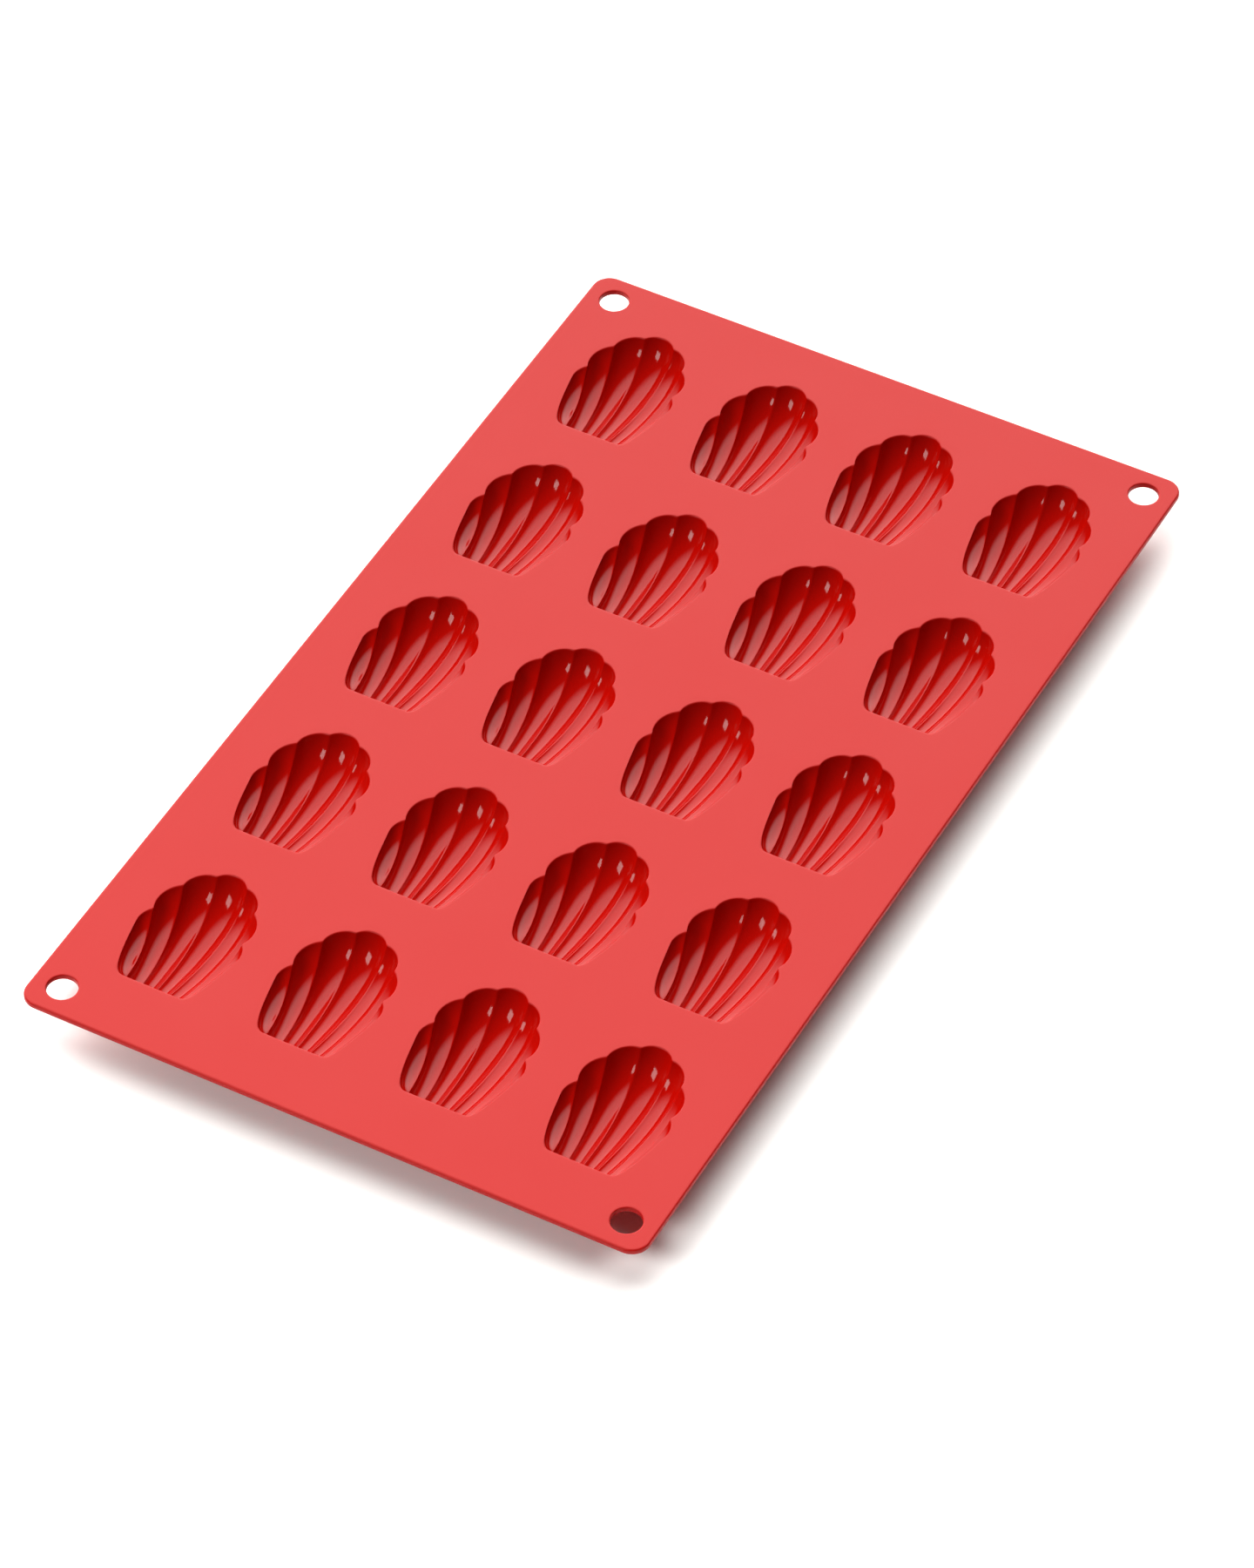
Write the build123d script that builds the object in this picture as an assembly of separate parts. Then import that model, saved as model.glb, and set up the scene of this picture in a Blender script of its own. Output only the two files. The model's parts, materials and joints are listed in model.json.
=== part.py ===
from build123d import *
import os
from math import cos, radians, tan

# A flexible baking mould: one thin rubber sheet carrying rows of scallop-shell cups.
# The sheet's length runs along Y, its width along X, and it stands on the lowest points of its cups.
# All sizes are in millimetres.

# ---------------------------------------------------------------- driving dimensions
sheet_length = 300.0
sheet_width = 175.0
sheet_thickness = 1.5
sheet_corner_radius = 5.0
sheet_edge_round = 0.6          # rounding of the upper edge all round the sheet

hole_diameter = 8.0             # hanging hole in each corner
hole_inset = 8.3                # from each side of the sheet to the hole's centre
hole_edge_round = 0.4

cup_columns = 4
cup_rows = 5
column_pitch = 40.2
row_pitch = 56.0
row_shift = 1.9                 # the rows sit this far towards the lobed tips

cup_length = 41.6               # inside, from the flat end to the tip of the middle lobe
cup_width = 29.0                # inside, across the two outermost lobes
cup_depth = 11.0                # inside, below the sheet's upper face
cup_wall = 1.2
crease_wall = 1.8               # wall under a crease, where two grooves meet
end_draft = 6.0                 # degrees, the flat end leans in by this

# The shell's form. Each line runs from the rim to the flat end through five Bezier control points,
# given as shares of the cup's half width, half length and depth. A length share of None means that
# the point lies on the flat end's wall.
crease_inner = [(0.297, 0.885, 0.00), (0.286, 0.790, 0.47), (0.245, 0.434, 1.17),
                (0.152, -0.285, 0.90), (0.114, None, 0.62)]
crease_middle = [(0.700, 0.580, 0.00), (0.683, 0.482, 0.22), (0.566, 0.201, 0.85),
                 (0.428, -0.398, 0.84), (0.352, None, 0.54)]
crease_outer = [(0.876, 0.089, 0.00), (0.850, 0.002, 0.13), (0.779, -0.190, 0.58),
                (0.610, -0.525, 0.33), (0.566, None, 0.31)]
rim_side = [(1.000, -0.165, 0.00), (0.931, -0.398, 0.00), (0.848, -0.681, 0.00),
            (0.779, None, 0.00), (0.552, None, 0.00)]

# How far each groove bulges out, as a share of its width: at its rim, for the grooves beside the middle
# one and further out, then at the other four stations.
lobe_bulge = [0.20, 0.19, 0.11]
groove_bulge = [0.26, 0.29, 0.28, 0.26]
side_groove_bulge = [0.28, 0.27, 0.24, 0.20]
inside_fullness = 0.5           # weight of a groove's middle control point: lower is rounder
outside_fullness = 0.7

# ---------------------------------------------------------------- values worked out from them
half_width = cup_width / 2
half_length = cup_length / 2
end_slope = tan(radians(end_draft))
end_normal = Vector(0, cos(radians(end_draft)), end_slope * cos(radians(end_draft)))


def end_y(depth, wall):
    """Y of the flat end's face at a depth: inside for wall 0, outside for a wall."""
    return -half_length - wall / cos(radians(end_draft)) + depth * end_slope


def outward(point):
    """Unit vector out of the cup at a point, square to an ellipsoid of the cup's size."""
    return Vector(point.X / half_width ** 2, point.Y / half_length ** 2, point.Z / cup_depth ** 2).normalized()


def inside_line(shares):
    """Control points of a line on the cup's inside."""
    points = []
    for across, along, down in shares:
        depth = down * cup_depth
        y = end_y(depth, 0) if along is None else along * half_length
        points.append(Vector(across * half_width, y, -depth))
    return points


def outside_line(shares, points, wall):
    """The same line moved out through the wall. Points of the flat end stay on its outer face."""
    moved = []
    for (_, along, _), point in zip(shares, points):
        there = point + outward(point) * wall
        if along is None:
            there = Vector(there.X, end_y(-there.Z, cup_wall), there.Z)
        moved.append(there)
    return moved


def groove_line(inner, outer, bulges):
    """The bottom of the groove between two lines: halfway, then out square to both by the bulge."""
    middle = [(a + b) * 0.5 for a, b in zip(inner, outer)]
    last = len(middle) - 1
    points = []
    for i, bulge in enumerate(bulges):
        chord = outer[i] - inner[i]
        along = middle[min(i + 1, last)] - middle[max(i - 1, 0)]
        normal = chord.cross(along).normalized()
        if i == 0:
            normal = Vector(normal.X, normal.Y, 0).normalized()
        if i == last:
            normal = (normal - end_normal * normal.dot(end_normal)).normalized()
        points.append(middle[i] + normal * (bulge * chord.length))
    return points


def apex_line(inner, bottom, outer, fullness):
    """Middle control points that carry a groove's cross-section through its bottom line."""
    return [(g * (2 + 2 * fullness) - a - b) * (0.5 / fullness) for a, g, b in zip(inner, bottom, outer)]


def mirrored(points):
    return [Vector(-p.X, p.Y, p.Z) for p in points]


def skin(lines, bottoms, fullness):
    """The seven grooves of one skin, its rim and its flat end, from the middle groove outwards.

    Returns the groove faces, the edges of the rim and the edges round the flat end's face."""
    grooves = []
    inner = mirrored(lines[0])
    for outer, bottom in zip(lines, bottoms):
        grooves.append((inner, apex_line(inner, bottom, outer, fullness), outer))
        inner = outer
    grooves += [[mirrored(line) for line in groove] for groove in grooves[1:]]

    weights = [1.0, fullness, 1.0]
    faces = [Face.make_bezier_surface(list(groove), [[w] * len(groove[0]) for w in weights])
             for groove in grooves]
    rim = [Edge.make_bezier(*[line[0] for line in groove], weights=weights) for groove in grooves]
    rim += [Edge.make_bezier(*line) for line in (lines[-1], mirrored(lines[-1]))]
    corner = lines[-1][-1]
    top_of_end = Edge.make_line(Vector(-corner.X, corner.Y, 0), corner)
    end = [Edge.make_bezier(*[line[-1] for line in groove], weights=weights) for groove in grooves]
    return faces, rim + [top_of_end], end + [top_of_end]


def closed_wire(edges):
    return Wire.combine(edges)[0]


def solid_from(faces):
    return Solid(Shell(faces))


# ---------------------------------------------------------------- one cup
line_shares = [crease_inner, crease_middle, crease_outer, rim_side]
walls = [crease_wall, crease_wall, crease_wall, cup_wall]
inside = [inside_line(shares) for shares in line_shares]
outside = [outside_line(*item) for item in zip(line_shares, inside, walls)]

pairs = [(mirrored(inside[0]), inside[0])] + list(zip(inside, inside[1:]))
notch = inside[0][0]
tip_bulge = (half_length - notch.Y) / (2 * notch.X)
rim_bulges = [tip_bulge] + lobe_bulge
bulges = [[rim] + below for rim, below in zip(rim_bulges, [groove_bulge] * 3 + [side_groove_bulge])]
inside_bottoms = [groove_line(a, b, bulge) for (a, b), bulge in zip(pairs, bulges)]
outside_bottoms = [outside_line(crease_inner, bottom, cup_wall) for bottom in inside_bottoms]

inner_faces, inner_rim, inner_end = skin(inside, inside_bottoms, inside_fullness)
outer_faces, outer_rim, outer_end = skin(outside, outside_bottoms, outside_fullness)

mouth = Face(closed_wire(outer_rim))
rim_face = Face(closed_wire(outer_rim), [closed_wire(inner_rim)])
inner_end_face = Face(closed_wire(inner_end))
outer_end_face = Face(closed_wire(outer_end))

cup = solid_from(inner_faces + outer_faces + [rim_face, inner_end_face, outer_end_face])
cup_block = solid_from(outer_faces + [mouth, outer_end_face])

# The mould stands on the lowest points of its cups, so its upper face is this far up.
top_z = -cup.bounding_box().min.Z

# ---------------------------------------------------------------- where the cups sit
cup_places = {}
for row in range(cup_rows):
    for column in range(cup_columns):
        x = (column - (cup_columns - 1) / 2) * column_pitch
        y = (row - (cup_rows - 1) / 2) * row_pitch + row_shift
        cup_places[f"cup_r{row + 1}_c{column + 1}"] = Vector(x, y, top_z)

# ---------------------------------------------------------------- the sheet
with BuildPart() as sheet:
    with BuildSketch(Plane.XY.offset(top_z - sheet_thickness)):
        RectangleRounded(sheet_width, sheet_length, sheet_corner_radius)
    extrude(amount=sheet_thickness)
    fillet(sheet.faces().sort_by(Axis.Z)[-1].outer_wire().edges(), sheet_edge_round)
    with BuildSketch(Plane.XY.offset(top_z)) as holes:
        with GridLocations(sheet_width - 2 * hole_inset, sheet_length - 2 * hole_inset, 2, 2):
            Circle(hole_diameter / 2)
    extrude(amount=-sheet_thickness, mode=Mode.SUBTRACT)
    hole_rims = [w.edges() for w in sheet.faces().sort_by(Axis.Z)[-1].inner_wires()]
    fillet([edge for edges in hole_rims for edge in edges], hole_edge_round)

flat_sheet = sheet.part - [cup_block.moved(Location(place)) for place in cup_places.values()]

# ---------------------------------------------------------------- files, one for each node
os.makedirs("parts", exist_ok=True)
export_step(flat_sheet, "parts/flat_sheet.step")
for name, place in cup_places.items():
    export_step(cup.moved(Location(place)), f"parts/{name}.step")
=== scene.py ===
import json
import math

import bpy
import numpy as np
from bpy.props import FloatProperty, FloatVectorProperty, PointerProperty, StringProperty
from mathutils import Matrix, Quaternion, Vector
from mathutils.geometry import delaunay_2d_cdt

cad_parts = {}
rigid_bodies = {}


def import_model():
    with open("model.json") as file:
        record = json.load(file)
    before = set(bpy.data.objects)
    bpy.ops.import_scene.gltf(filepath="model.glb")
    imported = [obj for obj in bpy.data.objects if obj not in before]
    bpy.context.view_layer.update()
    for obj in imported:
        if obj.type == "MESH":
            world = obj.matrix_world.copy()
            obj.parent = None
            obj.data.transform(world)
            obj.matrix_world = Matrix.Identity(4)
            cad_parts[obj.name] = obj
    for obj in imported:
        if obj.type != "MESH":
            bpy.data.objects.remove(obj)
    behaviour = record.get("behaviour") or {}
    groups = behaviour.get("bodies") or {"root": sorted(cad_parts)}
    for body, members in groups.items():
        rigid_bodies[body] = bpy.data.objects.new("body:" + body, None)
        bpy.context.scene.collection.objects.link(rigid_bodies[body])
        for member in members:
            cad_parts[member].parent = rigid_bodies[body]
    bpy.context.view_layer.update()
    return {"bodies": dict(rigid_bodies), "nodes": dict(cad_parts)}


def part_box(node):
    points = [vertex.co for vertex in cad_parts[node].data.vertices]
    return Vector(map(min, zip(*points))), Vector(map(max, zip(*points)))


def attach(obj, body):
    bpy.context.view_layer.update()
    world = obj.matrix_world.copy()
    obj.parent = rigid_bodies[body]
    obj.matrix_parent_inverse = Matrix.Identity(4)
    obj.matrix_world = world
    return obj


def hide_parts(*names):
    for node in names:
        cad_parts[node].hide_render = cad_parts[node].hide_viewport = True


bl_info = {
    "name": "Shell Cup Baking Mould",
    "version": (1, 0, 0),
    "blender": (4, 5, 0),
    "location": "View3D > Sidebar > Baking Mould",
    "description": "Builds a flexible silicone baking mould with scallop-shell cups, and its studio",
    "category": "Object",
}

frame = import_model()
BODY = next(iter(frame["bodies"]))
SHEET_LOW, SHEET_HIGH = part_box("flat_sheet")
THICKNESS = SHEET_HIGH.z - SHEET_LOW.z
CUP_NODES = sorted(node for node in frame["nodes"] if node.startswith("cup_"))

# The shell's form. Each line runs from the rim to the flat end through five Bezier control points, given as
# shares of the cup's half width, half length and depth. A length share of None lies on the flat end's wall.
CREASE_INNER = [(0.297, 0.885, 0.00), (0.286, 0.790, 0.47), (0.245, 0.434, 1.17),
                (0.152, -0.285, 0.90), (0.114, None, 0.62)]
CREASE_MIDDLE = [(0.700, 0.580, 0.00), (0.683, 0.482, 0.22), (0.566, 0.201, 0.85),
                 (0.428, -0.398, 0.84), (0.352, None, 0.54)]
CREASE_OUTER = [(0.876, 0.089, 0.00), (0.850, 0.002, 0.13), (0.779, -0.190, 0.58),
                (0.610, -0.525, 0.33), (0.566, None, 0.31)]
RIM_SIDE = [(1.000, -0.165, 0.00), (0.931, -0.398, 0.00), (0.848, -0.681, 0.00),
            (0.779, None, 0.00), (0.552, None, 0.00)]

# How far each groove bulges out, as a share of its width: at the rim for the grooves beside the middle one
# and further out, then at the other four stations.
LOBE_BULGE = [0.20, 0.19, 0.11]
GROOVE_BULGE = [0.26, 0.29, 0.28, 0.26]
SIDE_GROOVE_BULGE = [0.28, 0.27, 0.24, 0.20]

# Weights of the grooves' middle control points, from the middle groove outwards: lower is rounder.
INSIDE_FULLNESS = [0.5, 0.5, 0.7, 0.9]
OUTSIDE_FULLNESS = [0.7] * 4

# Where the surface is sampled: across one groove, from the rim to the flat end, and up the flat end's wall.
# The samples crowd together where a corner is rounded.
HALF_ACROSS = [0.0, 0.018, 0.040, 0.068, 0.105, 0.16, 0.24, 0.33, 0.42]
ACROSS = np.array(HALF_ACROSS + [0.5] + [1 - share for share in reversed(HALF_ACROSS)])
DOWN = np.concatenate([[0, 0.008, 0.017, 0.027, 0.038, 0.050, 0.064, 0.080, 0.10],
                       np.linspace(0.125, 0.95, 34), [0.965, 0.98, 0.991, 1.0]])
UP = np.array([0, 0.03, 0.07, 0.12, 0.18, 0.27, 0.38, 0.50, 0.62, 0.72, 0.80, 0.86, 0.91, 0.95, 0.98, 1.0])
ROUNDED = 3                 # samples that the rounding of a crease or of the flat end's foot takes on each side
LIP_SHARES = np.linspace(0, 0.5, 6)
FOOT = len(DOWN) - 1
GROOVE_STEP = len(ACROSS) - 1
SHARP = math.radians(60)    # edges bent by more than this are cuts, and are shaded sharp


# ---------------------------------------------------------------- settings a user would change
class MouldForm(bpy.types.PropertyGroup):
    """Sizes of the moulding that its frame doesn't give."""
    cup_length: FloatProperty(name="Cup length", description="Inside, flat end to the middle lobe's tip",
                              default=0.0416, unit="LENGTH")
    cup_width: FloatProperty(name="Cup width", description="Inside, across the outermost lobes",
                             default=0.029, unit="LENGTH")
    cup_depth: FloatProperty(name="Cup depth", description="Inside, below the sheet's upper face",
                             default=0.011, unit="LENGTH")
    wall: FloatProperty(name="Cup wall", description="Rubber thickness of a cup", default=0.0012,
                        unit="LENGTH")
    crease_wall: FloatProperty(name="Crease wall", description="Thickness where two grooves meet",
                               default=0.0018, unit="LENGTH")
    end_draft: FloatProperty(name="End draft", description="How far the flat end leans in",
                             default=math.radians(6), subtype="ANGLE")
    lip: FloatProperty(name="End lip", description="Rounded width each side of the rim's straight end",
                       default=0.00085, unit="LENGTH")
    lobe_lip: FloatProperty(name="Lobe lip", description="Rounded width each side of the rim's lobes",
                            default=0.0004, unit="LENGTH")
    root: FloatProperty(name="Root", description="Rounded width where a cup leaves the sheet's underside",
                        default=0.001, unit="LENGTH")
    margin: FloatProperty(name="Margin", description="Flat rubber that a cup's piece keeps round its lip",
                          default=0.0011, unit="LENGTH")
    corner_radius: FloatProperty(name="Corner radius", description="Corners of the sheet in plan",
                                 default=0.005, unit="LENGTH")
    top_round: FloatProperty(name="Upper edge", description="Rounding of the sheet's upper edge",
                             default=0.0006, unit="LENGTH")
    bottom_round: FloatProperty(name="Lower edge", description="Rounding of the sheet's lower edge",
                                default=0.00015, unit="LENGTH")
    hole_radius: FloatProperty(name="Hole radius", description="Corner holes", default=0.004, unit="LENGTH")
    hole_inset: FloatProperty(name="Hole inset", description="From each side to a corner hole's centre",
                              default=0.0083, unit="LENGTH")
    hole_round: FloatProperty(name="Hole edge", description="Rounding of a corner hole's upper edge",
                              default=0.0004, unit="LENGTH")


class MouldFinish(bpy.types.PropertyGroup):
    """Colour and gloss of the silicone."""
    colour: StringProperty(name="Silicone", description="Pigmented silicone, sRGB hex", default="#A60702")
    satin: FloatProperty(name="Satin roughness", description="Sheet and underside, from a blasted mould face",
                         default=0.42, min=0, max=1)
    polish: FloatProperty(name="Polished roughness", description="Cup insides, from a polished mould face",
                          default=0.08, min=0, max=1)
    index: FloatProperty(name="Refractive index", description="Silicone rubber", default=1.4, min=1, max=2)
    mirror: FloatProperty(name="Mirror level", description="Reflection; 0.5 is what the index gives",
                          default=0.27, min=0, max=1)
    grain: FloatProperty(name="Grain", description="Spacing of the satin grain", default=0.0004,
                         unit="LENGTH")
    grain_height: FloatProperty(name="Grain height", description="Height of the satin grain",
                                default=0.000008, unit="LENGTH")
    satin_above: FloatProperty(name="Satin depth", description="The lip is satin down to here",
                               default=0.00015, unit="LENGTH")
    polished_below: FloatProperty(name="Polished depth", description="The cup is fully polished from here",
                                  default=0.00045, unit="LENGTH")


class MouldStudio(bpy.types.PropertyGroup):
    """Camera and light round the mould."""
    lens: FloatProperty(name="Lens", description="Focal length in mm on a 36 mm frame", default=168.0)
    eye: FloatVectorProperty(name="Eye", description="Camera's place from the middle of the sheet's top",
                             size=3, default=(0.6292, -1.1328, 1.3364), subtype="TRANSLATION")
    aim: FloatVectorProperty(name="Aim", description="Point the camera looks at, from the same middle",
                             size=3, default=(0.0102, -0.0150, 0.0), subtype="TRANSLATION")
    roll: FloatProperty(name="Roll", description="Turn of the camera about its axis",
                        default=math.radians(-0.5), subtype="ANGLE")
    lamp: StringProperty(name="Lamp colour", description="Slightly warm white, sRGB hex", default="#FFFEFB")
    dome: FloatProperty(name="Dome", description="Radiance of the soft dome's bright side", default=4.5)
    dome_dim: FloatProperty(name="Dim side", description="Radiance of the dome's dim side", default=0.04)
    dome_edge: FloatProperty(name="Dome edge", description="How far from its middle the bright side ends",
                             default=math.radians(60), subtype="ANGLE")
    dome_full: FloatProperty(name="Dome full", description="How far from its middle it is fully bright",
                             default=math.radians(32), subtype="ANGLE")
    dome_side: FloatVectorProperty(name="Dome side", description="Where the dome is brightest", size=3,
                                   default=(-0.47, 0.55, 0.69), subtype="DIRECTION")
    key: FloatProperty(name="Key", description="Radiance of the front softbox", default=9.0)
    key_side: FloatVectorProperty(name="Key side", description="Where the front softbox hangs", size=3,
                                  default=(-0.31, -0.73, 0.61), subtype="DIRECTION")
    key_distance: FloatProperty(name="Key distance", description="From the mould to the front softbox",
                                default=1.2, unit="LENGTH")
    key_size: FloatVectorProperty(name="Key size", description="Width and height of the front softbox",
                                  size=2, default=(0.50, 0.30), subtype="XYZ_LENGTH")
    floor: StringProperty(name="Floor", description="Matt white sweep, sRGB hex", default="#FBFBFB")


# ---------------------------------------------------------------- small helpers
def linear(hex_colour):
    """Linear RGBA of an sRGB hex colour: the standard sRGB curve undone."""
    values = [int(hex_colour[i:i + 2], 16) / 255 for i in (1, 3, 5)]
    return [v / 12.92 if v <= 0.04045 else ((v + 0.055) / 1.055) ** 2.4 for v in values] + [1.0]


def add_node(tree, kind, settings=None, inputs=None):
    """Adds a node. Settings are its attributes; inputs give its sockets a value or another node's output."""
    node = tree.nodes.new(kind)
    for name, value in (settings or {}).items():
        setattr(node, name, value)
    for name, value in (inputs or {}).items():
        if isinstance(value, bpy.types.NodeSocket):
            tree.links.new(value, node.inputs[name])
        else:
            node.inputs[name].default_value = value
    return node


def unit(vectors):
    """Vectors scaled to length 1, row by row."""
    return vectors / np.maximum(np.linalg.norm(vectors, axis=-1, keepdims=True), 1e-12)


def shade(mesh):
    """Smooth shading, with a sharp edge only where a cut meets the flat."""
    mesh.polygons.foreach_set("use_smooth", np.ones(len(mesh.polygons), bool))
    mesh.update()
    mesh.set_sharp_from_angle(angle=SHARP)


def add_piece(mesh, name, node):
    """Puts a mesh into the scene as the piece that stands for a CAD node."""
    piece = bpy.data.objects.new(name, mesh)
    bpy.context.scene.collection.objects.link(piece)
    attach(piece, BODY)
    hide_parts(node)
    return piece


def grid_faces(rows, columns, start=0, closed=False):
    """Quads of a grid whose points are stored row by row. A closed grid joins its last column to its first
    one."""
    row, column = np.meshgrid(np.arange(rows - 1), np.arange(columns - (not closed)), indexing="ij")
    after = (column + 1) % columns
    corners = [row * columns + column, (row + 1) * columns + column,
               (row + 1) * columns + after, row * columns + after]
    return np.stack(corners, axis=-1).reshape(-1, 4) + start


def weld(points, faces):
    """Merges doubled points and turns quads with a doubled corner into triangles.

    Returns the points, the polygons and which of the quads each polygon was."""
    _, first, back = np.unique(np.round(points * 1e8).astype(np.int64), axis=0, return_index=True,
                               return_inverse=True)
    merged = back.reshape(-1)[faces]
    rings = [[corner for i, corner in enumerate(face) if corner != face[i - 1]] for face in merged.tolist()]
    kept = [i for i, ring in enumerate(rings) if len(ring) > 2 and len(set(ring)) == len(ring)]
    return points[first], [rings[i] for i in kept], np.array(kept)


def bezier(points, t):
    """Bezier curve: each control point weighted by its Bernstein share at t."""
    degree = len(points) - 1
    shares = [math.comb(degree, i) * t ** i * (1 - t) ** (degree - i) for i in range(degree + 1)]
    return np.tensordot(np.array(shares), points, axes=(0, 0))


# ---------------------------------------------------------------- the shell
def half_sizes(form):
    """The cup's half width, half length and depth."""
    return np.array([form.cup_width / 2, form.cup_length / 2, form.cup_depth])


def end_y(form, height, wall):
    """Y of the flat end's face at a height: inside for wall 0, outside for a wall."""
    return -form.cup_length / 2 - wall / math.cos(form.end_draft) - height * math.tan(form.end_draft)


def through_wall(form, points, wall, on_rim, on_end):
    """Points moved out through the wall, square to an ellipsoid of the cup's size.

    Points of the rim go down to the sheet's underside instead, where the wall has come closer, and points
    of the flat end stay on its outer face."""
    rim_lean = 0.4      # how far the wall comes in over the sheet's thickness, as a share of it
    out = unit(points / half_sizes(form) ** 2)
    moved = points + out * np.where(on_rim, wall - rim_lean * THICKNESS, wall)[:, None]
    moved[on_rim, 2] = -THICKNESS
    moved[on_end, 1] = end_y(form, moved[on_end, 2], form.wall)
    return moved


def inside_lines(form):
    """Control points of the creases and of the rim's side on the cup's inside."""
    lines = []
    for line in (CREASE_INNER, CREASE_MIDDLE, CREASE_OUTER, RIM_SIDE):
        shares = np.array([(across, along or 0, -down) for across, along, down in line])
        points = shares * half_sizes(form)
        on_end = [along is None for _, along, _ in line]
        points[on_end, 1] = end_y(form, points[on_end, 2], 0)
        lines.append(points)
    return lines


def groove_bottoms(form, lines):
    """Control points of each groove's bottom: halfway between its two lines, then out by its bulge, square
    to the face between them. The first stays in the rim's plane and the last on the flat end's wall."""
    lean = np.array([0, math.cos(form.end_draft), math.sin(form.end_draft)])
    notch = lines[0][0]
    rim_bulges = [(form.cup_length / 2 - notch[1]) / (2 * notch[0])] + LOBE_BULGE
    below = [GROOVE_BULGE] * 3 + [SIDE_GROOVE_BULGE]
    bottoms = []
    for inner, outer, rim, rest in zip([lines[0] * [-1, 1, 1]] + lines, lines, rim_bulges, below):
        middle = (inner + outer) / 2
        chord = outer - inner
        ends = np.vstack([middle[:1], middle, middle[-1:]])
        normal = unit(np.cross(chord, ends[2:] - ends[:-2]))
        normal[0, 2] = 0
        normal[-1] -= lean * normal[-1].dot(lean)
        bulge = np.array([rim] + rest) * np.linalg.norm(chord, axis=1)
        bottoms.append(middle + unit(normal) * bulge[:, None])
    return bottoms


def outside_of(form, lines, bottoms):
    """The same lines and groove bottoms on the cup's outside."""
    stations = np.arange(len(CREASE_INNER))
    walls = [form.crease_wall] * 3 + [form.wall]
    moved = []
    for line, wall in zip(lines, walls):
        on_rim = np.abs(line[:, 2]) < 1e-9
        on_end = np.abs(line[:, 1] - end_y(form, line[:, 2], 0)) < 1e-9
        moved.append(through_wall(form, line, wall, on_rim, on_end))
    under = [through_wall(form, bottom, form.wall, stations == 0, stations == stations[-1])
             for bottom in bottoms]
    return moved, under


def groove_surface(inner, bottom, outer, fullness):
    """One groove as a grid, rows from the rim to the flat end and columns across.

    Each cross-section is a conic from one line to the other through the bottom line: a rational
    quadratic Bezier curve whose middle point has the weight 'fullness'."""
    apex = (bottom * (2 + 2 * fullness) - inner - outer) / (2 * fullness)
    a, c, b = (bezier(line, DOWN)[:, None] for line in (inner, apex, outer))
    u = ACROSS[None, :, None]
    shares = (1 - u) ** 2, 2 * u * (1 - u) * fullness, u ** 2
    return (shares[0] * a + shares[1] * c + shares[2] * b) / sum(shares)


def round_corner(grid, middle, axis):
    """Rounds the corner at index 'middle' of a grid's rows or columns, ROUNDED samples each side of it.

    Each point moves onto the quadratic Bezier curve that has the corner as its middle control point, at
    its own share of the distance to the corner."""
    lines = np.moveaxis(grid, axis, 0)
    first, last = middle - ROUNDED, middle + ROUNDED
    start, corner, end = lines[first].copy(), lines[middle].copy(), lines[last].copy()
    for i in range(first + 1, last):
        arm, sign = (start, -0.5) if i <= middle else (end, 0.5)
        whole = np.maximum(np.linalg.norm(arm - corner, axis=-1), 1e-9)
        t = (0.5 + sign * np.clip(np.linalg.norm(lines[i] - corner, axis=-1) / whole, 0, 1))[..., None]
        lines[i] = (1 - t) ** 2 * start + 2 * t * (1 - t) * corner + t ** 2 * end


def cavity_grid(form, outside):
    """The seven grooves side by side, then the flat end's wall, as one grid. Its first row is the lobed rim
    and its last the straight one. The flat end's foot and the creases are rounded."""
    lines = inside_lines(form)
    bottoms = groove_bottoms(form, lines)
    if outside:
        lines, bottoms = outside_of(form, lines, bottoms)
    fullness = OUTSIDE_FULLNESS if outside else INSIDE_FULLNESS
    right = [groove_surface(a, g, b, weight)
             for a, g, b, weight in zip([lines[0] * [-1, 1, 1]] + lines, bottoms, lines, fullness)]
    left = [groove[:, ::-1] * [-1, 1, 1] for groove in reversed(right[1:])]
    grooves = left + right
    grid = np.concatenate([grooves[0]] + [groove[:, 1:] for groove in grooves[1:]], axis=1)

    foot = grid[-1]
    along = np.concatenate([[0], np.cumsum(np.linalg.norm(np.diff(foot, axis=0), axis=1))])
    top = foot[0] + (foot[-1] - foot[0]) * (along / along[-1])[:, None]
    grid = np.concatenate([grid, foot + (top - foot) * UP[1:, None, None]], axis=0)

    round_corner(grid, FOOT, 0)
    for crease in range(GROOVE_STEP, grid.shape[1] - 1, GROOVE_STEP):
        round_corner(grid, crease, 1)
    if outside:     # its lowest point is what the mould stands on
        grid[..., 2] *= min(1, SHEET_HIGH.z / -grid[..., 2].min())
    return grid


def rim_path(rows, columns):
    """Row and column numbers once round the rim: lobes, right side, flat end, left side."""
    lobes = [(0, column) for column in range(columns)]
    right = [(row, columns - 1) for row in range(1, FOOT + 1)]
    end = [(rows - 1, column) for column in range(columns - 2, 0, -1)]
    left = [(row, 0) for row in range(FOOT, 0, -1)]
    return np.array(lobes + right + end + left).T


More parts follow.
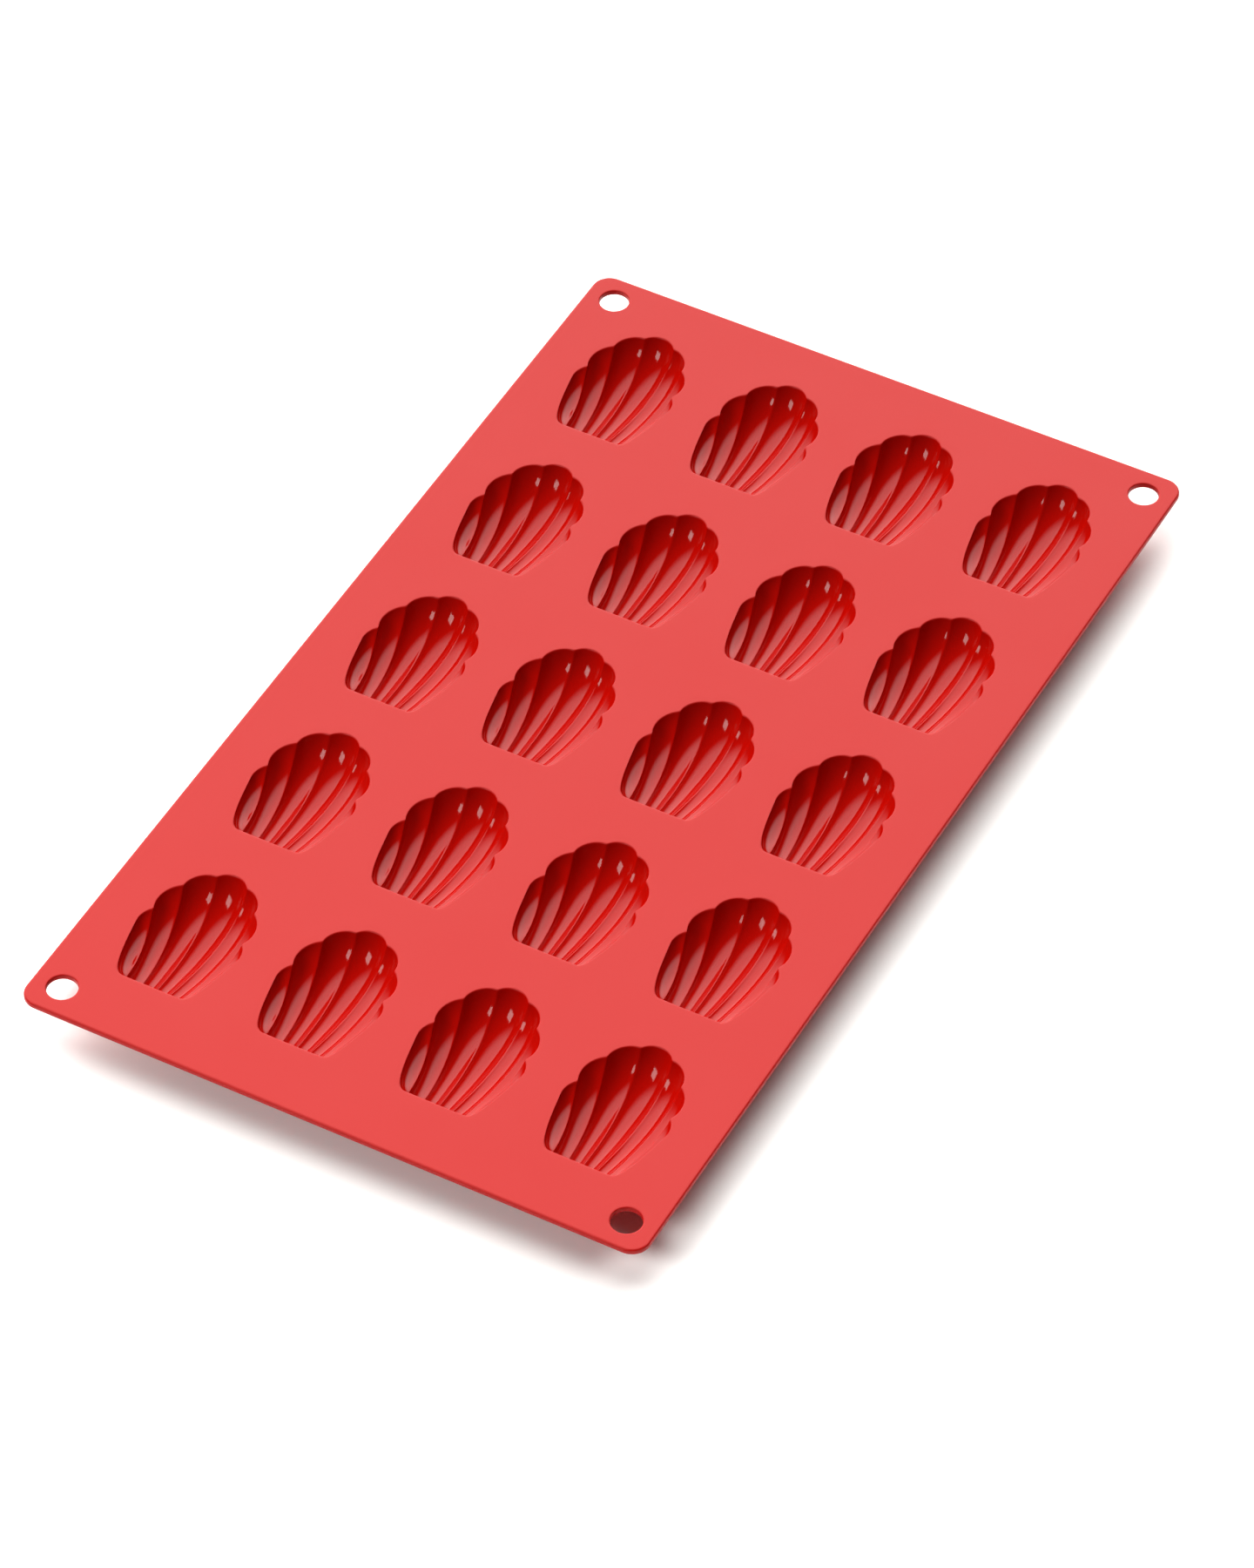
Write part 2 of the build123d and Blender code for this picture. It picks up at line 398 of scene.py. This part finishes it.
def away_from(rim):
    """Outward directions in plan along a closed rim, as if it had no lobes: the normals of its outline with
    only the lowest Fourier harmonics kept."""
    harmonics, samples = 7, 1024
    closed = np.vstack([rim, rim[:1]])
    along = np.concatenate([[0], np.cumsum(np.linalg.norm(np.diff(closed, axis=0), axis=1))])
    even = np.linspace(0, along[-1], samples, endpoint=False)
    outline = np.interp(even, along, closed[:, 0]) + 1j * np.interp(even, along, closed[:, 1])
    waves = np.fft.fftfreq(samples, 1 / samples)
    normal = np.fft.ifft(np.fft.fft(outline) * (np.abs(waves) <= harmonics) * waves)
    around = np.append(even, along[-1])
    x, y = (np.interp(along[:-1], around, np.append(part, part[0])) for part in (normal.real, normal.imag))
    outward = unit(np.stack([x, y, np.zeros(len(rim))], axis=1))
    return outward * np.sign((outward * rim).sum())


def lip_curve(edge, outward, wall, reach, share):
    """Rounds the corner between flat and wall: a quadratic Bezier curve from the flat, with the sharp edge as
    its middle control point, to the wall. Each arm is 'reach' long, and share runs from 0 to 1."""
    return ((1 - share) ** 2 * (edge + outward * reach) + 2 * share * (1 - share) * edge
            + share ** 2 * (edge + wall * reach))


def refined(closed_loop, factor):
    """A closed loop of points with each side split into 'factor' equal parts."""
    knots = np.arange(len(closed_loop) + 1)
    places = np.arange(len(closed_loop) * factor) / factor
    ring = np.vstack([closed_loop, closed_loop[:1]])
    return np.stack([np.interp(places, knots, ring[:, i]) for i in range(3)], axis=1)


def round_rim(grid, path, outward, reach):
    """Moves the points of a cup's wall that lie nearer its rim than the lip's reach there onto the lip's
    curve, each at its own distance from the nearest rim point."""
    rim = grid[tuple(path)]
    edges, away = refined(rim, 6), unit(refined(outward, 6))
    reaches = refined(np.repeat(reach, 3, axis=1), 6)[:, :1]
    flat = grid.reshape(-1, 3)
    near = np.nonzero(rim[0, 2] - flat[:, 2] < reach.max())[0]
    squares = ((flat[near] ** 2).sum(axis=1)[:, None] + (edges ** 2).sum(axis=1)
               - 2 * flat[near] @ edges.T)
    nearest = squares.argmin(axis=1)
    wall = flat[near] - edges[nearest]
    gap = np.linalg.norm(wall, axis=1)
    own = reaches[nearest, 0]
    inside = (gap < own) & (gap > 1e-7)
    near, nearest, wall, gap = near[inside], nearest[inside], unit(wall[inside]), gap[inside, None]
    own = reaches[nearest]
    flat[near] = lip_curve(edges[nearest], away[nearest], wall, own, 0.5 + 0.5 * gap / own)


def rim_reach(form, outward, outside):
    """How wide the rim's rounding is at each of its points: it grows smoothly from the lobes' width to the
    straight end's as the rim turns to face the end."""
    if outside:
        return np.full((len(outward), 1), form.root)
    start, full = 0.4, 0.9      # how far the rim faces the end where the change starts and where it is over
    turned = np.clip((-outward[:, 1:2] - start) / (full - start), 0, 1)
    return form.lobe_lip + (form.lip - form.lobe_lip) * turned ** 2 * (3 - 2 * turned)


def cup_skin(form, outside, boundary=None):
    """The cup's inside or outside with its rim rounded into the sheet.

    Returns the points, the quads and the numbers of the points on its outer boundary."""
    grid = cavity_grid(form, outside)
    rows, columns = grid.shape[:2]
    path = rim_path(rows, columns)
    rim = grid[tuple(path)]
    outward = away_from(rim)
    reach = rim_reach(form, outward, outside)
    deeper = np.clip(path, ROUNDED, [[rows - 1 - ROUNDED], [columns - 1 - ROUNDED]])
    wall = unit(grid[tuple(deeper)] - rim)
    round_rim(grid, path, outward, reach)

    if boundary is None:
        boundary = rim + outward * (form.lip + form.margin)
    boundary = boundary * [1, 1, 0] + [0, 0, rim[0, 2]]
    lip = lip_curve(rim, outward, wall, reach, LIP_SHARES[:, None, None])
    rings = np.concatenate([boundary[None], (boundary + lip[:1]) / 2, lip[:-1]], axis=0)
    grid[tuple(path)] = lip[-1]
    grid[FOOT:, 0] = grid[FOOT, 0]
    grid[FOOT:, -1] = grid[FOOT, -1]

    count = len(rim)
    first = rows * columns
    last_ring = first + (len(rings) - 1) * count + np.arange(count)
    seam = path[0] * columns + path[1]
    join = np.stack([last_ring, seam, np.roll(seam, -1), np.roll(last_ring, -1)], axis=1)
    points = np.vstack([grid.reshape(-1, 3), rings.reshape(-1, 3)])
    faces = np.vstack([grid_faces(rows, columns), grid_faces(len(rings), count, first, True), join])
    return points, faces, first + np.arange(count)


def whole_cup(form):
    """One cup about its own middle with its rim at height 0: its inside, its outside, and the cut that joins
    it to the sheet.

    Returns the points, the quads, a number for the kind of each quad and the cut's outline."""
    top, inside, top_ring = cup_skin(form, False)
    outline = top[top_ring]
    bottom, outside, bottom_ring = cup_skin(form, True, outline)
    bottom_ring = bottom_ring + len(top)
    cut = np.stack([top_ring, np.roll(top_ring, -1), np.roll(bottom_ring, -1), bottom_ring], axis=1)
    points = np.vstack([top, bottom])
    faces = np.vstack([inside, outside[:, ::-1] + len(top), cut])
    kinds = np.repeat([0, 1, 2], [len(inside), len(outside), len(cut)])
    return points, faces, kinds, outline


def cup_place(node):
    """Where a cup's middle is, at the height of the sheet's upper face."""
    low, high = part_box(node)
    return Vector(((low.x + high.x) / 2, (low.y + high.y) / 2, SHEET_HIGH.z))


# ---------------------------------------------------------------- the sheet
def quarter(steps):
    """Sines and cosines of a quarter turn in even steps, from 0."""
    turn = np.linspace(0, math.pi / 2, steps)
    return np.sin(turn), np.cos(turn)


def edge_profile(top_round, bottom_round):
    """The sheet's edge in section, from its upper face to its lower one: how far each point lies in the
    rubber, and its height. Each corner is a quarter circle of its rounding, after a strip of the flat."""
    strip = 0.0004
    sine, cosine = quarter(7)
    inset = np.concatenate([[top_round + strip], top_round * (1 - sine),
                            bottom_round * (1 - cosine), [bottom_round + strip]])
    height = np.concatenate([[SHEET_HIGH.z], SHEET_HIGH.z - top_round * (1 - cosine),
                             SHEET_LOW.z + bottom_round * (1 - sine), [SHEET_LOW.z]])
    return inset, height


def sheet_edge(form):
    """The edge profile carried round a rectangle with rounded corners: each corner's centre plus its radius,
    less the inset, along the direction's angle."""
    inset, height = edge_profile(form.top_round, form.bottom_round)
    turns = np.radians(np.arange(4)[:, None] * 90 + np.linspace(0, 90, 25)).ravel()
    right = np.repeat([1, -1, -1, 1], 25)
    back = np.repeat([1, 1, -1, -1], 25)
    radius = form.corner_radius
    middle = (SHEET_LOW + SHEET_HIGH) / 2
    x = middle.x + right * (SHEET_HIGH.x - middle.x - radius) + (radius - inset[:, None]) * np.cos(turns)
    y = middle.y + back * (SHEET_HIGH.y - middle.y - radius) + (radius - inset[:, None]) * np.sin(turns)
    return np.stack([x, y, np.broadcast_to(height[:, None], x.shape)], axis=-1)


def hole_wall(form, x, y):
    """A corner hole's wall: the edge profile turned round the hole's centre, clockwise so that it faces
    inwards."""
    inset, height = edge_profile(form.hole_round, form.bottom_round)
    radius = form.hole_radius + inset[:, None]
    turns = np.linspace(0, -2 * math.pi, 64, endpoint=False)
    return np.stack([x + radius * np.cos(turns), y + radius * np.sin(turns),
                     np.broadcast_to(height[:, None], (len(height), len(turns)))], axis=-1)


def hole_centres(form):
    """X and Y of the four corner holes."""
    inset = form.hole_inset
    return [(x, y) for x in (SHEET_LOW.x + inset, SHEET_HIGH.x - inset)
            for y in (SHEET_LOW.y + inset, SHEET_HIGH.y - inset)]


def within(points, loop):
    """Which points lie inside a loop in plan: their ray along X crosses it an odd number of times."""
    x, y = points[:, :1], points[:, 1:2]
    x0, y0 = loop[:, 0], loop[:, 1]
    x1, y1 = np.roll(x0, -1), np.roll(y0, -1)
    crosses = (y0 > y) != (y1 > y)
    reach = x0 + (y - y0) * (x1 - x0) / np.where(y1 == y0, 1, y1 - y0)
    return (crosses & (x < reach)).sum(axis=1) % 2 == 1


def fill_flat(loops):
    """Triangles of the flat between the first loop and the rest, which are openings in it: a constrained
    Delaunay triangulation. They turn anticlockwise seen from above."""
    points = np.vstack(loops)
    starts = np.cumsum([0] + [len(loop) for loop in loops])
    edges = [(start + i, start + (i + 1) % len(loop))
             for start, loop in zip(starts, loops) for i in range(len(loop))]
    flat = [Vector(point[:2]) for point in (points * 1000).tolist()]
    _, _, triangles, origins, _, _ = delaunay_2d_cdt(flat, edges, [], 1, 1e-6)
    number = np.array([origin[0] for origin in origins])
    triangles = number[np.array(triangles)]
    centres = points[triangles].mean(axis=1)
    owner = np.searchsorted(starts, triangles, side="right") - 1
    keep = np.ones(len(triangles), bool)
    for i, loop in enumerate(loops[1:], 1):
        own = np.nonzero((owner == i).all(axis=1))[0]
        keep[own[within(centres[own], loop)]] = False
    return triangles[keep]


def add_sheet(form, finish):
    """The flat sheet round the cups, with rounded edges and corner holes, cut where the cups' pieces
    start."""
    outline = whole_cup(form)[3]
    places = [outline + np.array(cup_place(node)) for node in CUP_NODES]
    cuts = [np.stack([top, top * [1, 1, 0] + [0, 0, SHEET_LOW.z]]) for top in places]
    seen = [sheet_edge(form)] + [hole_wall(form, x, y) for x, y in hole_centres(form)]
    walls = seen + cuts
    starts = np.cumsum([0] + [wall.shape[0] * wall.shape[1] for wall in walls])
    around = [np.arange(wall.shape[1]) + start for wall, start in zip(walls, starts)]
    lower = [ring + (wall.shape[0] - 1) * wall.shape[1] for wall, ring in zip(walls, around)]
    quads = [grid_faces(*wall.shape[:2], start, True) for wall, start in zip(walls, starts)]
    over = np.concatenate(around)[fill_flat([wall[0] for wall in walls])]
    under = np.concatenate(lower)[fill_flat([wall[-1] for wall in walls])][:, ::-1]

    mesh = bpy.data.meshes.new("moulded_sheet")
    points = np.vstack([wall.reshape(-1, 3) for wall in walls])
    mesh.from_pydata(points, [], [face for part in quads + [over, under] for face in part.tolist()])
    mesh.materials.append(silicone(finish, "satin_silicone"))
    shade(mesh)
    add_piece(mesh, "moulded_sheet", "flat_sheet")


# ---------------------------------------------------------------- finishes
def silicone(finish, name, polished=False):
    """Silicone rubber with a dense red pigment, compression moulded in a steel tool.

    It has no clear depth: the pigment gives a full flat red and the rubber's own surface all the gloss. Where
    the tool is blasted the surface is satin, and greys with the light round it. Inside the cups the tool is
    polished, so the cakes let go, and the same rubber mirrors the lamps. The change lies on the rim's lip."""
    material = bpy.data.materials.new(name)
    material.use_nodes = True
    tree = material.node_tree
    shader = tree.nodes["Principled BSDF"]
    shader.inputs["Base Color"].default_value = linear(finish.colour)
    shader.inputs["IOR"].default_value = finish.index
    shader.inputs["Specular IOR Level"].default_value = finish.mirror
    shader.inputs["Metallic"].default_value = 0.0

    place = add_node(tree, "ShaderNodeTexCoord").outputs["Object"]
    grain = add_node(tree, "ShaderNodeTexNoise", inputs={
        "Vector": place, "Scale": 1 / finish.grain, "Detail": 2.0, "Roughness": 0.5}).outputs[0]
    cloud = add_node(tree, "ShaderNodeTexNoise", inputs={
        "Vector": place, "Scale": 40.0, "Detail": 3.0}).outputs[0]
    satin = add_node(tree, "ShaderNodeMapRange", inputs={
        "Value": cloud, "From Min": 0.3, "From Max": 0.7,
        "To Min": finish.satin - 0.02, "To Max": finish.satin + 0.02}).outputs["Result"]
    bump = add_node(tree, "ShaderNodeBump", inputs={
        "Height": grain, "Distance": finish.grain_height, "Strength": 1.0})
    if polished:
        height = add_node(tree, "ShaderNodeSeparateXYZ", inputs={"Vector": place}).outputs["Z"]
        blast = add_node(tree, "ShaderNodeMapRange", {"interpolation_type": "SMOOTHSTEP"}, {
            "Value": height, "From Min": SHEET_HIGH.z - finish.polished_below,
            "From Max": SHEET_HIGH.z - finish.satin_above, "To Min": 0.0, "To Max": 1.0}).outputs["Result"]
        rough = add_node(tree, "ShaderNodeMix", {"data_type": "FLOAT"}, {
            "Factor": blast, "A": finish.polish, "B": satin}).outputs["Result"]
        tree.links.new(blast, bump.inputs["Strength"])
    else:
        rough = satin
    tree.links.new(rough, shader.inputs["Roughness"])
    tree.links.new(bump.outputs["Normal"], shader.inputs["Normal"])
    return material


def add_cups(form, finish):
    """The twenty shell cups: one mesh worked out once, then copied to each cup's place."""
    points, faces, kinds, _ = whole_cup(form)
    points, polygons, kept = weld(points, faces)
    kinds = kinds[kept]
    model = bpy.data.meshes.new("shell")
    model.from_pydata(points, [], polygons)
    model.polygons.foreach_set("material_index", (kinds > 0).astype(np.int32))
    model.materials.append(silicone(finish, "polished_silicone", polished=True))
    model.materials.append(silicone(finish, "satin_silicone_underside"))
    shade(model)
    for node in CUP_NODES:
        mesh = model.copy()
        mesh.name = "shell_" + node
        mesh.transform(Matrix.Translation(cup_place(node)))
        add_piece(mesh, "shell_" + node, node)
    bpy.data.meshes.remove(model)


# ---------------------------------------------------------------- the studio
def add_camera(studio):
    """The camera, turned from a level track to its aim by its roll."""
    data = bpy.data.cameras.new("studio_camera")
    data.sensor_fit = "VERTICAL"
    data.sensor_height = 36.0
    data.lens = studio.lens
    data.clip_end = 20.0
    camera = bpy.data.objects.new("studio_camera", data)
    middle = Vector(((SHEET_LOW.x + SHEET_HIGH.x) / 2, (SHEET_LOW.y + SHEET_HIGH.y) / 2, SHEET_HIGH.z))
    eye, aim = middle + Vector(studio.eye), middle + Vector(studio.aim)
    camera.location = eye
    camera.rotation_mode = "QUATERNION"
    level = (aim - eye).to_track_quat("-Z", "Y")
    camera.rotation_quaternion = level @ Quaternion((0, 0, 1), studio.roll)
    bpy.context.scene.collection.objects.link(camera)
    bpy.context.scene.camera = camera


def add_dome(studio):
    """A soft dome: its radiance rises smoothly from the dim side to the bright one, by the angle between
    each direction and the bright side's."""
    world = bpy.data.worlds.new("soft_dome")
    world.use_nodes = True
    tree = world.node_tree
    direction = add_node(tree, "ShaderNodeTexCoord").outputs["Generated"]
    facing = add_node(tree, "ShaderNodeVectorMath", {"operation": "DOT_PRODUCT"}, {
        0: direction, 1: Vector(studio.dome_side).normalized()}).outputs["Value"]
    glow = add_node(tree, "ShaderNodeMapRange", {"interpolation_type": "SMOOTHSTEP"}, {
        "Value": facing, "From Min": math.cos(studio.dome_edge), "From Max": math.cos(studio.dome_full),
        "To Min": studio.dome_dim, "To Max": studio.dome}).outputs["Result"]
    background = tree.nodes["Background"]
    tree.links.new(glow, background.inputs["Strength"])
    background.inputs["Color"].default_value = linear(studio.lamp)
    bpy.context.scene.world = world


def add_softbox(studio):
    """A softbox in front, to the left. A rectangle's radiance is its power over four times its area."""
    data = bpy.data.lights.new("front_softbox", "AREA")
    data.shape = "RECTANGLE"
    data.size, data.size_y = studio.key_size
    data.energy = studio.key * 4 * data.size * data.size_y
    data.color = linear(studio.lamp)[:3]
    light = bpy.data.objects.new("front_softbox", data)
    side = Vector(studio.key_side).normalized()
    light.location = side * studio.key_distance
    light.rotation_mode = "QUATERNION"
    light.rotation_quaternion = (-side).to_track_quat("-Z", "Y")
    light.visible_camera = False
    bpy.context.scene.collection.objects.link(light)


def add_floor(studio):
    """A matt white sweep under the mould."""
    radius, sides = 4.0, 96
    turns = np.linspace(0, 2 * math.pi, sides, endpoint=False)
    points = np.stack([radius * np.cos(turns), radius * np.sin(turns), np.zeros(sides)], axis=1)
    mesh = bpy.data.meshes.new("studio_floor")
    mesh.from_pydata(points, [], [list(range(sides))])
    material = bpy.data.materials.new("matt_white_sweep")
    material.use_nodes = True
    shader = material.node_tree.nodes["Principled BSDF"]
    shader.inputs["Base Color"].default_value = linear(studio.floor)
    shader.inputs["Roughness"].default_value = 0.9
    shader.inputs["Specular IOR Level"].default_value = 0.2
    mesh.materials.append(material)
    floor = bpy.data.objects.new("studio_floor", mesh)
    bpy.context.scene.collection.objects.link(floor)


# ---------------------------------------------------------------- operators and panel
class MOULD_OT_sheet(bpy.types.Operator):
    """Build the flat sheet that carries the cups"""
    bl_idname = "mould.sheet"
    bl_label = "Flat Sheet"

    def execute(self, context):
        add_sheet(context.scene.mould_form, context.scene.mould_finish)
        return {"FINISHED"}


class MOULD_OT_cups(bpy.types.Operator):
    """Build the scallop-shell cups"""
    bl_idname = "mould.cups"
    bl_label = "Shell Cups"

    def execute(self, context):
        add_cups(context.scene.mould_form, context.scene.mould_finish)
        return {"FINISHED"}


class MOULD_OT_studio(bpy.types.Operator):
    """Build the floor, the lights and the camera"""
    bl_idname = "mould.studio"
    bl_label = "Studio"

    def execute(self, context):
        studio = context.scene.mould_studio
        add_camera(studio)
        add_dome(studio)
        add_softbox(studio)
        add_floor(studio)
        context.scene.view_settings.view_transform = "Standard"
        return {"FINISHED"}


class MOULD_PT_panel(bpy.types.Panel):
    """Lists the mould's settings and its operators"""
    bl_label = "Baking Mould"
    bl_idname = "MOULD_PT_panel"
    bl_space_type = "VIEW_3D"
    bl_region_type = "UI"
    bl_category = "Baking Mould"

    def draw(self, context):
        scene = context.scene
        for title, settings in (("Form", scene.mould_form), ("Finish", scene.mould_finish),
                                ("Studio", scene.mould_studio)):
            box = self.layout.box()
            box.label(text=title)
            for name in settings.__annotations__:
                box.prop(settings, name)
        for operator in OPERATORS:
            self.layout.operator(operator.bl_idname)


OPERATORS = (MOULD_OT_sheet, MOULD_OT_cups, MOULD_OT_studio)
CLASSES = (MouldForm, MouldFinish, MouldStudio) + OPERATORS + (MOULD_PT_panel,)


def register():
    for cls in CLASSES:
        bpy.utils.register_class(cls)
    bpy.types.Scene.mould_form = PointerProperty(type=MouldForm)
    bpy.types.Scene.mould_finish = PointerProperty(type=MouldFinish)
    bpy.types.Scene.mould_studio = PointerProperty(type=MouldStudio)


def unregister():
    del bpy.types.Scene.mould_studio
    del bpy.types.Scene.mould_finish
    del bpy.types.Scene.mould_form
    for cls in reversed(CLASSES):
        bpy.utils.unregister_class(cls)


def main():
    register()
    bpy.ops.mould.studio()
    bpy.ops.mould.sheet()
    bpy.ops.mould.cups()


if __name__ == "__main__":
    main()
